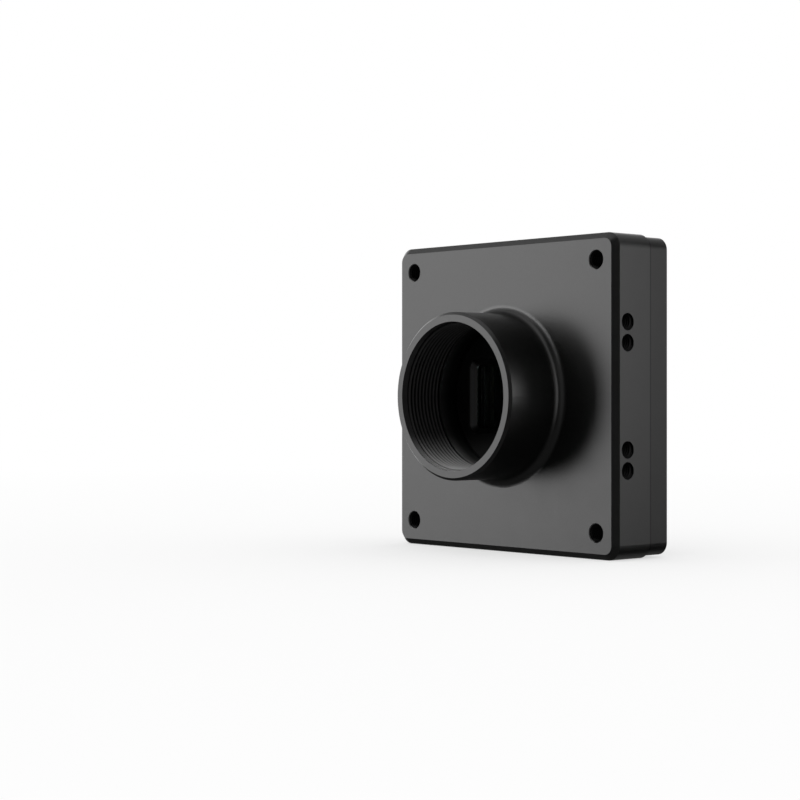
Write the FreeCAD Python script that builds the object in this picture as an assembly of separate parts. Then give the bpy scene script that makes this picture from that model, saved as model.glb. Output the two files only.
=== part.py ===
import FreeCAD, Part
import math
import os

# Compact machine vision camera with a threaded lens collar, all sizes in millimetres.
# The lens looks along -Y, the connectors face +Y, +Z is up and +X is to the right seen from the front.
# The origin is the centre of the lens flange face, where the optical axis meets the collar's front.

V = FreeCAD.Vector

# Outside of the case
case_width = 54.0
case_height = 54.0
case_corner_radius = 2.5
plate_thickness = 2.5
housing_depth = 8.7           # front plate's face to the joint with the rear cover
cover_wall = 1.8
case_wall = 2.0
front_chamfer = 1.0
joint_chamfer = 0.35          # also how far the cover sits inside the housing all round
rear_chamfer = 0.5

# Lens collar, a 1 inch 32 thread whose form is left off
flange_focal_distance = 17.526
thread_radius = 12.7
thread_height = 0.43
thread_depth = 8.6
bore_floor = 1.3              # metal left round the window at the bottom of the bore
relief_step = 0.28
relief_length = 1.1
collar_wall = 1.64
collar_chamfer = 0.46
collar_root_radius = 1.55
aperture_width = 16.5
aperture_height = 11.2
aperture_corner = 0.8
aperture_bevel = 1.0

# Fixing holes
corner_inset_x = 4.4
corner_inset_z = 4.45
corner_thread_radius = 1.5
corner_thread_depth = 4.5
corner_boss_radius = 3.4
hole_chamfer = 0.15
side_hole_radius = 1.45
side_hole_depth = 4.5
side_hole_setback = 2.9       # front plate's face to the row of holes
side_pitch_outer = 24.5
side_pitch_inner = 17.6
side_boss_width = 3.7
side_boss_margin = 0.9

# Cover screws, countersunk
screw_clear_radius = 1.6
screw_shank_radius = 1.47
screw_length = 7.0
screw_hole_spare = 0.4
screw_head_radius = 2.8
countersink_radius = 2.95
screw_seat_gap = 0.02
drive_core_radius = 0.85
drive_lobe_radius = 0.33
drive_depth = 1.1

# Cover joint
lip_depth = 1.2
lip_wall = 0.9
lip_gap = 0.1
cover_boss_extra = 0.2
gasket_width = 0.7
gasket_height = 0.5
gasket_gap = 0.05

# Rear face
recess_width = 24.7
recess_height = 21.3
recess_depth = 0.6
recess_corner = 1.8
recess_centre_x = 0.65
recess_centre_z = 7.45
led_x = -13.9
led_z = 17.7
led_hole_radius = 1.1

# Network jack
jack_width = 15.25
jack_height = 12.5
jack_reach = 10.6             # how far it stands behind the cover
jack_centre_x = 6.65
jack_centre_z = -14.05
jack_cut_above = 0.45
jack_cut_below = 0.45
jack_cut_left = 1.1
jack_cut_right = 0.15
jack_cut_corner = 0.8
plug_width = 11.8
plug_height = 7.1
plug_depth = 11.5
plug_top_drop = 3.3           # top of the jack to the wide part of its mouth
latch_step_width = 6.2
latch_step_drop = 1.85
latch_slot_width = 4.45
latch_slot_drop = 0.7
contact_pitch = 1.02
contact_count = 8
contact_width = 0.45
contact_thickness = 0.3
contact_bed = 0.7             # plastic left under the contacts
contact_hook_setback = 1.2    # jack's face to the bend of the springs
contact_hook_reach = 0.45
contact_hook_step = 0.42
contact_lean = 6.8            # length of the free end along Y
contact_rise = 3.2            # height of the free end over the floor
terminal_gap = 0.1            # round each terminal in its board hole or slot
tail_length = 0.4             # terminal showing past the board
catch_height = 2.7
catch_depth = 1.0
catch_groove = 0.45
peg_radius = 0.8
peg_spread = 11.4
peg_proud = 0.2
peg_setback_z = 3.1

# Signal header
header_width = 11.8
header_height = 4.3
header_centre_x = -9.2
header_centre_z = -18.25
header_below_face = 0.6
header_wall = 0.7
header_base = 0.8
header_key_width = 2.2
header_tongue_height = 0.5
header_tongue_short = 0.4
header_cut_gap = 1.05
header_cut_gap_z = 0.58
header_cut_corner = 1.1
pin_pitch = 0.8
pin_count = 8
pin_width = 0.3
pin_thickness = 0.2
pin_gap = 0.03

# Optical stack behind the aperture
filter_overlap = 1.95         # filter glass past the window's edge
filter_thickness = 1.0
filter_seal_thickness = 0.3
filter_seal_width = 0.8
filter_gap = 0.1
frame_side = 3.2              # frame past the filter glass, left and right
frame_rim = 1.9               # and above and below
frame_lip = 0.6
frame_window_gap = 0.1
frame_screw_offset = 1.6      # filter glass's edge to the screws
frame_screw_radius = 0.78
frame_screw_clear = 0.9
frame_screw_tap = 0.8
frame_screw_depth = 1.3
frame_screw_spare = 0.1
frame_head_radius = 1.4
frame_head_height = 0.8
frame_slot_width = 0.35
frame_slot_depth = 0.4
dust_seal_width = 1.1
dust_seal_thickness = 0.4
package_side = 2.2            # package past the die, left and right
package_end = 2.5             # and above and below
package_rim_depth = 1.5
die_width = 15.6
die_height = 11.8
die_thickness = 0.5
die_margin = 0.7
glass_thickness = 0.5
glass_inset = 0.9
glass_to_die = 0.626

# Boards and what joins them
board_gap_to_case = 0.5
notch_gap = 0.4
sensor_board_thickness = 0.8
sensor_board_top = 21.8
board_spacing = 1.2
main_board_thickness = 1.0
post_offset = 8.5             # sensor package to the posts
post_top_z = 16.0
post_bottom_z = -10.2
post_radius = 2.3
board_screw_radius = 0.97
board_screw_tap = 1.0
board_screw_clear = 1.1
board_screw_length = 6.0
board_head_radius = 1.9
board_head_height = 1.2
board_slot_width = 0.5
board_slot_depth = 0.6
post_hole_spare = 0.4
spacer_radius = 1.9
stack_length = 14.0
stack_width = 3.2
stack_wall = 0.5
stack_gap = 0.1
stack_floor = 0.4
stack_rim_gap = 0.3           # sensor board to the socket's rim
stack_centre_z = 16.5

# Chips: width along X, height along Z and thickness; they stand a chip gap apart
chip_gap = 0.6
processor_size = (15.0, 15.0, 1.3)
processor_x = 0.5
processor_z = 8.0
pad_inset = 0.5
pad_thickness = 0.6
memory_size = (7.5, 11.0, 1.0)
memory_top = 19.5
network_size = (8.0, 8.0, 0.9)
network_z = -3.0
flash_size = (6.0, 5.0, 0.8)
crystal_size = (3.2, 2.5, 0.8)
capacitor_size = (3.5, 2.8, 1.6)
capacitor_top = 5.4
isolator_size = (4.4, 3.6, 1.6)
magnetics_size = (16.0, 4.8, 4.4)
magnetics_gap = 0.85          # above the jack's tails
inductor_size = (5.0, 3.6, 3.0)
regulator_size = (3.0, 3.0, 0.9)
regulator_gap = 4.6           # sensor package to each regulator
regulator_z = 2.0
led_size = (2.0, 1.6, 0.7)
pipe_gap = 0.03
pipe_recess = 0.5
pipe_flange_radius = 1.7
pipe_flange_height = 0.5
pipe_air_gap = 0.05

# Planes along the optical axis. The sensor's face fixes the stack, and so the collar's length.
die_y = flange_focal_distance
glass_back = die_y - glass_to_die
glass_y = glass_back - glass_thickness
frame_back = glass_y - dust_seal_thickness
filter_back = frame_back - frame_lip
seal_back = filter_back - filter_thickness
plate_back = seal_back - filter_seal_thickness
plate_y = plate_back - plate_thickness
bore_depth = plate_back - bore_floor
package_back = glass_back + package_rim_depth
sensor_board_back = package_back + sensor_board_thickness
main_board_y = sensor_board_back + board_spacing
main_board_back = main_board_y + main_board_thickness
cover_inner = main_board_back + processor_size[2] + pad_thickness
rear_y = cover_inner + cover_wall
joint_y = plate_y + housing_depth
jack_face = rear_y + jack_reach
header_face = rear_y - header_below_face
screw_top = rear_y - (countersink_radius - screw_head_radius) + screw_seat_gap

# Widths, heights and radii worked out from the pieces that they go round
bore_radius = thread_radius - thread_height
relief_radius = bore_radius + relief_step
collar_radius = thread_radius + collar_wall
filter_width = aperture_width + 2 * filter_overlap
filter_height = aperture_height + 2 * filter_overlap
frame_width = filter_width + 2 * frame_side
frame_height = filter_height + 2 * frame_rim
package_width = die_width + 2 * package_side
package_height = die_height + 2 * package_end
glass_width = package_width - 2 * glass_inset
glass_height = package_height - 2 * glass_inset
post_x = package_width / 2 + post_offset

# Half sizes shared by the pieces that fit inside each other
cavity_x = case_width / 2 - case_wall
cavity_z = case_height / 2 - case_wall
cover_half_x = case_width / 2 - joint_chamfer
cover_half_z = case_height / 2 - joint_chamfer
lip_x = cavity_x - lip_gap
lip_z = cavity_z - lip_gap
pocket_x = lip_x - lip_wall
pocket_z = lip_z - lip_wall
board_x = pocket_x - board_gap_to_case
board_z = pocket_z - board_gap_to_case
corner_x = case_width / 2 - corner_inset_x
corner_z = case_height / 2 - corner_inset_z
corners = [(sx * corner_x, sz * corner_z) for sx in (-1, 1) for sz in (-1, 1)]
posts = [(sx * post_x, z) for sx in (-1, 1) for z in (post_bottom_z, post_top_z)]
frame_x = filter_width / 2 + frame_screw_offset
frame_z = filter_height / 2
frame_screws = [(sx * frame_x, sz * frame_z) for sx in (-1, 1) for sz in (-1, 1)]
contact_xs = [jack_centre_x + (i - (contact_count - 1) / 2) * contact_pitch for i in range(contact_count)]
pin_xs = [header_centre_x + (i - (pin_count - 1) / 2) * pin_pitch for i in range(pin_count)]
jack_top = jack_centre_z + jack_height / 2
jack_bottom = jack_centre_z - jack_height / 2
contact_floor = jack_bottom + contact_bed
plug_floor = jack_top - plug_top_drop - plug_height
header_top = header_centre_z + header_height / 2
header_bottom = header_centre_z - header_height / 2

# Places of the chips round the processor, the jack and the header
processor_left = processor_x - processor_size[0] / 2
memory_x = processor_x + (processor_size[0] + memory_size[0]) / 2 + chip_gap
capacitor_x = memory_x + (memory_size[0] + capacitor_size[0]) / 2 + chip_gap
flash_x = processor_left - chip_gap - flash_size[0] / 2
network_x = processor_left - chip_gap - network_size[0] / 2
crystal_x = network_x + (network_size[0] + crystal_size[0]) / 2 + chip_gap
isolator_x = jack_centre_x - (jack_width + isolator_size[0]) / 2 - chip_gap
isolator_z = header_top + chip_gap + isolator_size[1] / 2
contact_tail_z = contact_floor + contact_thickness / 2
magnetics_z = contact_tail_z + magnetics_gap + magnetics_size[1] / 2
sensor_board_bottom = magnetics_z + magnetics_size[1] / 2 + chip_gap
inductor_x = jack_centre_x - (magnetics_size[0] + inductor_size[0]) / 2 - chip_gap
inductor_z = sensor_board_bottom - chip_gap - inductor_size[1] / 2
regulator_x = (package_width + regulator_size[0]) / 2 + regulator_gap


def box(x0, x1, y0, y1, z0, z1):
    """A box between two corners."""
    return Part.makeBox(x1 - x0, y1 - y0, z1 - z0, V(x0, y0, z0))


def centred_box(width, height, y0, y1, x=0.0, z=0.0):
    """A box centred on a point of the XZ plane."""
    return box(x - width / 2, x + width / 2, y0, y1, z - height / 2, z + height / 2)


def rod(radius, y0, y1, x=0.0, z=0.0):
    """A cylinder along Y."""
    return Part.makeCylinder(radius, y1 - y0, V(x, y0, z), V(0, 1, 0))


def cone(radius0, radius1, y0, y1, x=0.0, z=0.0):
    """A cone along Y."""
    return Part.makeCone(radius0, radius1, y1 - y0, V(x, y0, z), V(0, 1, 0))


def tube(outer, inner, y0, y1, x=0.0, z=0.0):
    """A hollow cylinder along Y."""
    return rod(outer, y0, y1, x, z).cut(rod(inner, y0, y1, x, z))


def round_wire(width, height, radius, y, x=0.0, z=0.0):
    """A rectangle with round corners in the plane at y."""
    hx = width / 2
    hz = height / 2
    radius = min(radius, 0.98 * hx, 0.98 * hz)
    edges = []
    for k in range(4):
        turn = k * math.pi / 2
        c, s = round(math.cos(turn)), round(math.sin(turn))
        ux, uz = (hx, hz) if k % 2 == 0 else (hz, hx)

        def at(a, b):
            return V(x + a * c - b * s, y, z + a * s + b * c)

        bend = radius * (1 - math.sqrt(0.5))
        edges.append(Part.LineSegment(at(ux, radius - uz), at(ux, uz - radius)).toShape())
        edges.append(Part.Arc(at(ux, uz - radius), at(ux - bend, uz - bend), at(ux - radius, uz)).toShape())
    return Part.Wire(edges)


def round_block(width, height, radius, y0, y1, x=0.0, z=0.0):
    """A block along Y with round corners."""
    return Part.Face(round_wire(width, height, radius, y0, x, z)).extrude(V(0, y1 - y0, 0))


def revolved(points):
    """A solid turned about the optical axis from (radius, y) points; a pair of points makes an arc."""
    edges = []
    last = V(points[0][0], points[0][1], 0)
    for item in points[1:] + [points[0]]:
        if isinstance(item[0], tuple):
            middle, end = [V(radius, y, 0) for radius, y in item]
            edges.append(Part.Arc(last, middle, end).toShape())
        else:
            end = V(item[0], item[1], 0)
            edges.append(Part.LineSegment(last, end).toShape())
        last = end
    return Part.Face(Part.Wire(edges)).revolve(V(0, 0, 0), V(0, 1, 0), 360)


def edges_at(shape, y, inside_x=0.0, inside_z=0.0):
    """The outline edges of a solid that lie in the plane at y, outside a central rectangle."""
    found = []
    for edge in shape.Edges:
        b = edge.BoundBox
        flat = abs(b.YMin - y) < 1e-6 and abs(b.YMax - y) < 1e-6
        centre = edge.valueAt((edge.FirstParameter + edge.LastParameter) / 2)
        if flat and (abs(centre.x) > inside_x or abs(centre.z) > inside_z):
            found.append(edge)
    return found


def strip(points, thickness, width, x):
    """A bent metal strip that follows (y, z) points, square to X."""
    left = []
    right = []
    for i, (y, z) in enumerate(points):
        normals = []
        for j in (i - 1, i):
            if 0 <= j < len(points) - 1:
                dy = points[j + 1][0] - points[j][0]
                dz = points[j + 1][1] - points[j][1]
                size = math.hypot(dy, dz)
                normals.append((-dz / size, dy / size))
        ny = sum(n[0] for n in normals)
        nz = sum(n[1] for n in normals)
        size = math.hypot(ny, nz)
        ny, nz = ny / size, nz / size
        reach = thickness / 2 / (ny * normals[0][0] + nz * normals[0][1])
        left.append(V(x - width / 2, y + ny * reach, z + nz * reach))
        right.append(V(x - width / 2, y - ny * reach, z - nz * reach))
    outline = left + right[::-1]
    return Part.Face(Part.makePolygon(outline + [outline[0]])).extrude(V(width, 0, 0))


def keep(name, shape):
    """Write one named piece."""
    shape.exportStep("parts/" + name + ".step")


# Front housing: plate, lens collar, walls, bosses and board posts are machined from one block

def front_housing():
    body = round_block(case_width, case_height, case_corner_radius, plate_y, joint_y)
    body = body.makeChamfer(front_chamfer, edges_at(body, plate_y))
    body = body.makeChamfer(joint_chamfer, edges_at(body, joint_y))
    root = collar_radius + collar_root_radius
    bend = collar_root_radius * (1 - math.sqrt(0.5))
    collar = revolved([
        (0, 0),
        (collar_radius - collar_chamfer, 0),
        (collar_radius, collar_chamfer),
        (collar_radius, plate_y - collar_root_radius),
        ((collar_radius + bend, plate_y - bend), (root, plate_y)),
        (root, plate_back),
        (0, plate_back),
    ])
    inside = round_block(2 * cavity_x, 2 * cavity_z, case_corner_radius, plate_back, joint_y)
    keepers = [rod(corner_boss_radius, plate_back, joint_y, x, z) for x, z in corners]
    keepers += [rod(post_radius, plate_back, package_back, x, z) for x, z in posts]
    boss_back = plate_y + side_hole_setback + side_hole_radius + side_boss_margin
    for sx in (-1, 1):
        for sz in (-1, 1):
            z = sz * (side_pitch_outer + side_pitch_inner) / 4
            tall = (side_pitch_outer - side_pitch_inner) / 2 + 2 * (side_hole_radius + side_boss_margin)
            x = sx * (cavity_x - side_boss_width / 2)
            keepers.append(centred_box(side_boss_width, tall, plate_back, boss_back, x, z))
    inside = inside.cut(Part.makeCompound(keepers))
    body = body.fuse(collar).cut(inside)

    cuts = [
        rod(thread_radius, 0, thread_depth),
        rod(bore_radius, 0, bore_depth),
        rod(relief_radius, bore_depth - relief_length, bore_depth),
        round_block(aperture_width, aperture_height, aperture_corner, bore_depth, plate_back),
        Part.makeLoft([
            round_wire(aperture_width + 2 * aperture_bevel, aperture_height + 2 * aperture_bevel,
                       aperture_corner + aperture_bevel, bore_depth),
            round_wire(aperture_width, aperture_height, aperture_corner, bore_depth + aperture_bevel),
        ], True, True),
    ]
    for x, z in corners:
        cuts.append(rod(corner_thread_radius, plate_y, plate_y + corner_thread_depth, x, z))
        cuts.append(rod(corner_thread_radius, screw_top - screw_length - screw_hole_spare, joint_y, x, z))
        wide = corner_thread_radius + hole_chamfer
        cuts.append(cone(wide, corner_thread_radius, plate_y, plate_y + hole_chamfer, x, z))
    for x, z in posts:
        post_hole = main_board_back - board_screw_length - post_hole_spare
        cuts.append(rod(board_screw_tap, post_hole, package_back, x, z))
    for x, z in frame_screws:
        frame_hole = plate_back - frame_screw_depth - frame_screw_spare
        cuts.append(rod(frame_screw_tap, frame_hole, plate_back, x, z))
    for sx in (-1, 1):
        for pitch in (-side_pitch_outer, -side_pitch_inner, side_pitch_inner, side_pitch_outer):
            start = V(sx * case_width / 2, plate_y + side_hole_setback, pitch / 2)
            cuts.append(Part.makeCylinder(side_hole_radius, side_hole_depth, start, V(-sx, 0, 0)))
    cuts.append(gasket_ring(gasket_gap))
    for cut in cuts:
        body = body.cut(cut)
    return body.removeSplitter()


def gasket_ring(gap):
    """The ring that fills the groove in the housing's rear rim, grown sideways by a gap."""
    middle_x = (cavity_x + cover_half_x) / 2
    middle_z = (cavity_z + cover_half_z) / 2
    corner = case_corner_radius - (case_width / 2 - middle_x)
    half = gasket_width / 2 + gap
    start = joint_y - gasket_height
    outer = round_block(2 * (middle_x + half), 2 * (middle_z + half), corner + half, start, joint_y)
    inner = round_block(2 * (middle_x - half), 2 * (middle_z - half), corner - half, start, joint_y)
    return outer.cut(inner)


# Rear cover: a shallow tray with a locating lip, screwed on from behind

def rear_cover():
    corner = case_corner_radius - joint_chamfer
    body = round_block(2 * cover_half_x, 2 * cover_half_z, corner, joint_y, rear_y)
    body = body.makeChamfer(rear_chamfer, edges_at(body, rear_y))
    lip = round_block(2 * lip_x, 2 * lip_z, case_corner_radius - lip_gap, joint_y - lip_depth, joint_y)
    lip = lip.cut(round_block(2 * pocket_x, 2 * pocket_z, corner, joint_y - lip_depth, joint_y))
    for x, z in corners:
        lip = lip.cut(rod(corner_boss_radius + lip_gap, joint_y - lip_depth, joint_y, x, z))
    pocket = round_block(2 * pocket_x, 2 * pocket_z, corner, joint_y, cover_inner)
    for x, z in corners:
        pocket = pocket.cut(rod(corner_boss_radius + cover_boss_extra, joint_y, cover_inner, x, z))
    body = body.cut(pocket).fuse(lip)

    cuts = [
        round_block(recess_width, recess_height, recess_corner, rear_y - recess_depth, rear_y,
                    recess_centre_x, recess_centre_z),
        rod(led_hole_radius, cover_inner, rear_y, led_x, led_z),
        connector_cut(),
    ]
    for x, z in corners:
        cuts.append(rod(screw_clear_radius, joint_y, rear_y, x, z))
        deep = countersink_radius - screw_clear_radius
        cuts.append(cone(screw_clear_radius, countersink_radius, rear_y - deep, rear_y, x, z))
    for cut in cuts:
        body = body.cut(cut)
    return body.removeSplitter()


def connector_cut():
    """One opening for the jack and the signal header, joined where they meet."""
    left = jack_centre_x + jack_width / 2 + jack_cut_left
    right = jack_centre_x - jack_width / 2 - jack_cut_right
    top = jack_top + jack_cut_above
    bottom = jack_bottom - jack_cut_below
    jack = round_block(left - right, top - bottom, jack_cut_corner, cover_inner, rear_y,
                       (left + right) / 2, (top + bottom) / 2)
    far = header_centre_x - header_width / 2 - header_cut_gap
    near = jack_centre_x
    header_high = header_height + 2 * header_cut_gap_z
    header = round_block(near - far, header_high, header_cut_corner, cover_inner, rear_y,
                         (near + far) / 2, header_centre_z)
    return jack.fuse(header)


def cover_screw(x, z):
    """A countersunk screw with a six-lobe drive."""
    top = screw_top
    head_start = top - (screw_head_radius - screw_shank_radius)
    head = cone(screw_shank_radius, screw_head_radius, head_start, top, x, z)
    screw = head.fuse(rod(screw_shank_radius, top - screw_length, top - drive_depth, x, z))
    drive = [rod(drive_core_radius, top - drive_depth, top, x, z)]
    for k in range(6):
        a = k * math.pi / 3
        lobe_x = x + drive_core_radius * math.cos(a)
        lobe_z = z + drive_core_radius * math.sin(a)
        drive.append(rod(drive_lobe_radius, top - drive_depth, top, lobe_x, lobe_z))
    for cut in drive:
        screw = screw.cut(cut)
    return screw


# Optical stack: seal, filter glass and its frame, then the sensor

def seal_frame(width, height, band, y0, y1, corner):
    """A flat rectangular seal."""
    outer = round_block(width, height, corner, y0, y1)
    return outer.cut(round_block(width - 2 * band, height - 2 * band, corner, y0, y1))


def filter_frame():
    frame = round_block(frame_width, frame_height, aperture_corner, plate_back, frame_back)
    pocket_width = filter_width + 2 * filter_gap
    pocket_height = filter_height + 2 * filter_gap
    frame = frame.cut(centred_box(pocket_width, pocket_height, plate_back, filter_back))
    window_width = aperture_width + 2 * frame_window_gap
    window_height = aperture_height + 2 * frame_window_gap
    frame = frame.cut(round_block(window_width, window_height, aperture_corner, filter_back, frame_back))
    for x, z in frame_screws:
        frame = frame.cut(rod(frame_screw_clear, plate_back, frame_back, x, z))
    return frame


def slot_in_head(radius, width, depth, top, x, z):
    """The driver slot across a small screw's head."""
    return centred_box(2 * radius, width, top - depth, top, x, z)


def frame_screw(x, z):
    shank = rod(frame_screw_radius, plate_back - frame_screw_depth, frame_back, x, z)
    head = rod(frame_head_radius, frame_back, frame_back + frame_head_height, x, z)
    return shank.fuse(head).cut(slot_in_head(frame_head_radius, frame_slot_width, frame_slot_depth,
                                             frame_back + frame_head_height, x, z))


def sensor_package():
    body = centred_box(package_width, package_height, glass_back, package_back)
    well = centred_box(die_width + 2 * die_margin, die_height + 2 * die_margin,
                       glass_back, die_y + die_thickness)
    return body.cut(well)


# Boards

def board_with_notches(y0, y1, z0, z1, notch):
    """A board cut away round the corner bosses, with holes for the board screws."""
    board = box(-board_x, board_x, y0, y1, z0, z1)
    for x, z in corners:
        board = board.cut(rod(notch, y0, y1, x, z))
    for x, z in posts:
        board = board.cut(rod(board_screw_clear, y0, y1, x, z))
    return board


def sensor_board():
    notch = corner_boss_radius + notch_gap
    return board_with_notches(package_back, sensor_board_back, sensor_board_bottom, sensor_board_top, notch)


def main_board():
    notch = corner_boss_radius + cover_boss_extra + notch_gap
    board = board_with_notches(main_board_y, main_board_back, -board_z, board_z, notch)
    holes = []
    for x in contact_xs:
        holes.append(centred_box(contact_width + terminal_gap, contact_thickness + terminal_gap,
                                 main_board_y, main_board_back, x, contact_tail_z))
    for x in pin_xs:
        holes.append(centred_box(pin_width + terminal_gap, pin_thickness + terminal_gap,
                                 main_board_y, main_board_back, x, pin_z()))
    for x, z in peg_places():
        holes.append(rod(peg_radius + terminal_gap, main_board_y, main_board_back, x, z))
    return board.cut(Part.makeCompound(holes))


def board_screw(x, z):
    shank = rod(board_screw_radius, main_board_back - board_screw_length, main_board_back, x, z)
    head = rod(board_head_radius, main_board_back, main_board_back + board_head_height, x, z)
    return shank.fuse(head).cut(slot_in_head(board_head_radius, board_slot_width, board_slot_depth,
                                             main_board_back + board_head_height, x, z))


def stack_socket():
    """The half on the main board, which takes the plug in its well."""
    width = stack_length + 2 * (stack_wall + stack_gap)
    height = stack_width + 2 * (stack_wall + stack_gap)
    front = sensor_board_back + stack_rim_gap
    body = centred_box(width, height, front, main_board_y, 0, stack_centre_z)
    well = centred_box(stack_length + 2 * stack_gap, stack_width + 2 * stack_gap,
                       front, main_board_y - stack_floor, 0, stack_centre_z)
    return body.cut(well)


def stack_plug():
    return centred_box(stack_length, stack_width, sensor_board_back, main_board_y - stack_floor,
                       0, stack_centre_z)


def chip_behind(size, x, z):
    """A chip on the main board's rear side."""
    return centred_box(size[0], size[1], main_board_back, main_board_back + size[2], x, z)


def chip_before(size, x, z, face):
    """A chip on a board's front side."""
    return centred_box(size[0], size[1], face - size[2], face, x, z)


def thermal_pad():
    start = main_board_back + processor_size[2]
    return centred_box(processor_size[0] - 2 * pad_inset, processor_size[1] - 2 * pad_inset,
                       start, start + pad_thickness, processor_x, processor_z)


# Network jack, standing on the main board with its mouth to the rear

def peg_places():
    return [(jack_centre_x + sx * peg_spread / 2, jack_top - peg_setback_z) for sx in (-1, 1)]


def jack_housing():
    body = centred_box(jack_width, jack_height, main_board_back, jack_face, jack_centre_x, jack_centre_z)
    mouth = jack_face - plug_depth
    catch_z = plug_floor + plug_height / 2
    wide = contact_count * contact_pitch

    def bay(width, drop, low):
        x0 = jack_centre_x - width / 2
        return box(x0, x0 + width, mouth, jack_face, low, jack_top - drop)

    cuts = [
        bay(plug_width, plug_top_drop, plug_floor),
        bay(latch_step_width, latch_step_drop, plug_floor),
        bay(latch_slot_width, latch_slot_drop, plug_floor),
        bay(wide, plug_top_drop, contact_floor),
        centred_box(plug_width + 2 * catch_groove, catch_height, mouth, jack_face, jack_centre_x, catch_z),
        box(jack_centre_x, jack_centre_x + jack_width / 2, jack_face - catch_depth, jack_face,
            catch_z - catch_height / 2, catch_z + catch_height / 2),
    ]
    for x in contact_xs:
        half = contact_width / 2 + terminal_gap
        cuts.append(box(x - half, x + half, main_board_back, mouth,
                        contact_floor, contact_floor + contact_thickness + terminal_gap))
    for cut in cuts:
        body = body.cut(cut)
    for x, z in peg_places():
        body = body.fuse(rod(peg_radius, main_board_y - peg_proud, main_board_back, x, z))
    return body.removeSplitter()


def jack_contact(x):
    """One spring: a tail through the board, a run along the floor and a free end that leans inwards."""
    low = contact_tail_z
    hook = jack_face - contact_hook_setback
    path = [
        (main_board_y - tail_length, low),
        (hook - contact_hook_reach, low),
        (hook, low + contact_hook_step),
        (hook - contact_hook_reach, low + 2 * contact_hook_step),
        (hook - contact_hook_reach - contact_lean, low + contact_rise),
    ]
    return strip(path, contact_thickness, contact_width, x)


# Signal header beside the jack

def pin_z():
    return header_centre_z + header_tongue_height / 2 + pin_thickness / 2


def signal_header():
    body = centred_box(header_width, header_height, main_board_back, header_face,
                       header_centre_x, header_centre_z)
    well_start = main_board_back + header_base
    left = header_centre_x - header_width / 2 + header_wall
    right = header_centre_x + header_width / 2 - header_wall
    tongue_top = header_centre_z + header_tongue_height / 2
    tongue_low = header_centre_z - header_tongue_height / 2
    body = body.cut(box(left, right, well_start, header_face, tongue_top, header_top - header_wall))
    body = body.cut(box(left + header_key_width, right - header_key_width, well_start, header_face,
                        header_bottom + header_wall, tongue_low))
    body = body.cut(box(left + header_key_width, right - header_key_width, header_face - header_tongue_short,
                        header_face, tongue_low, tongue_top))
    for x in pin_xs:
        half = pin_width / 2 + pin_gap
        body = body.cut(box(x - half, x + half, main_board_back, well_start,
                            tongue_top, tongue_top + pin_thickness + pin_gap))
    return body


def header_pin(x):
    tongue_end = header_face - header_tongue_short - pin_gap
    return centred_box(pin_width, pin_thickness, main_board_y - tail_length, tongue_end, x, pin_z())


# Status light and its pipe

def light_pipe():
    start = main_board_back + led_size[2] + pipe_air_gap
    end = rear_y - pipe_recess
    pipe = rod(led_hole_radius - pipe_gap, start, end, led_x, led_z)
    return pipe.fuse(rod(pipe_flange_radius, cover_inner - pipe_flange_height, cover_inner, led_x, led_z))


os.makedirs("parts", exist_ok=True)

keep("front_housing", front_housing())
keep("rear_cover", rear_cover())
keep("cover_gasket", gasket_ring(0))
keep("cover_screws", Part.makeCompound([cover_screw(x, z) for x, z in corners]))

keep("filter_seal", seal_frame(filter_width, filter_height, filter_seal_width,
                               plate_back, seal_back, aperture_corner))
keep("filter_glass", centred_box(filter_width, filter_height, seal_back, filter_back))
keep("filter_frame", filter_frame())
keep("filter_frame_screws", Part.makeCompound([frame_screw(x, z) for x, z in frame_screws]))

keep("dust_seal", seal_frame(glass_width, glass_height, dust_seal_width,
                             frame_back, glass_y, aperture_corner))
keep("sensor_glass", centred_box(glass_width, glass_height, glass_y, glass_back))
keep("sensor_die", centred_box(die_width, die_height, die_y, die_y + die_thickness))
keep("sensor_package", sensor_package())

keep("sensor_board", sensor_board())
keep("main_board", main_board())
keep("board_screws", Part.makeCompound([board_screw(x, z) for x, z in posts]))
keep("board_spacers", Part.makeCompound(
    [tube(spacer_radius, board_screw_clear, sensor_board_back, main_board_y, x, z) for x, z in posts]))
keep("stack_plug", stack_plug())
keep("stack_socket", stack_socket())

keep("processor_chip", chip_behind(processor_size, processor_x, processor_z))
keep("thermal_pad", thermal_pad())
keep("network_chip", chip_behind(network_size, network_x, network_z))
keep("flash_chip", chip_behind(flash_size, flash_x, processor_z))
keep("clock_crystal", chip_behind(crystal_size, crystal_x, network_z))
keep("magnetics_module", chip_before(magnetics_size, jack_centre_x, magnetics_z, main_board_y))
for i in range(2):
    number = str(i + 1)
    memory_z = memory_top - memory_size[1] / 2 - i * (memory_size[1] + chip_gap)
    capacitor_z = capacitor_top - capacitor_size[1] / 2 - i * (capacitor_size[1] + chip_gap)
    isolator_place = isolator_x - i * (isolator_size[0] + chip_gap)
    inductor_place = inductor_x - i * (inductor_size[0] + chip_gap)
    regulator_side = (2 * i - 1) * regulator_x
    keep("memory_chip_" + number, chip_behind(memory_size, memory_x, memory_z))
    keep("bulk_capacitor_" + number, chip_behind(capacitor_size, capacitor_x, capacitor_z))
    keep("signal_isolator_" + number, chip_behind(isolator_size, isolator_place, isolator_z))
    keep("power_inductor_" + number, chip_before(inductor_size, inductor_place, inductor_z, main_board_y))
    keep("sensor_regulator_" + number, chip_before(regulator_size, regulator_side, regulator_z, package_back))

keep("jack_housing", jack_housing())
for i, x in enumerate(contact_xs):
    keep("jack_contact_" + str(i + 1), jack_contact(x))
keep("signal_header", signal_header())
for i, x in enumerate(pin_xs):
    keep("signal_pin_" + str(i + 1), header_pin(x))

keep("status_led", chip_behind(led_size, led_x, led_z))
keep("light_pipe", light_pipe())
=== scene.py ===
import math
import bmesh
import bpy
from mathutils import Matrix, Vector


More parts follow.
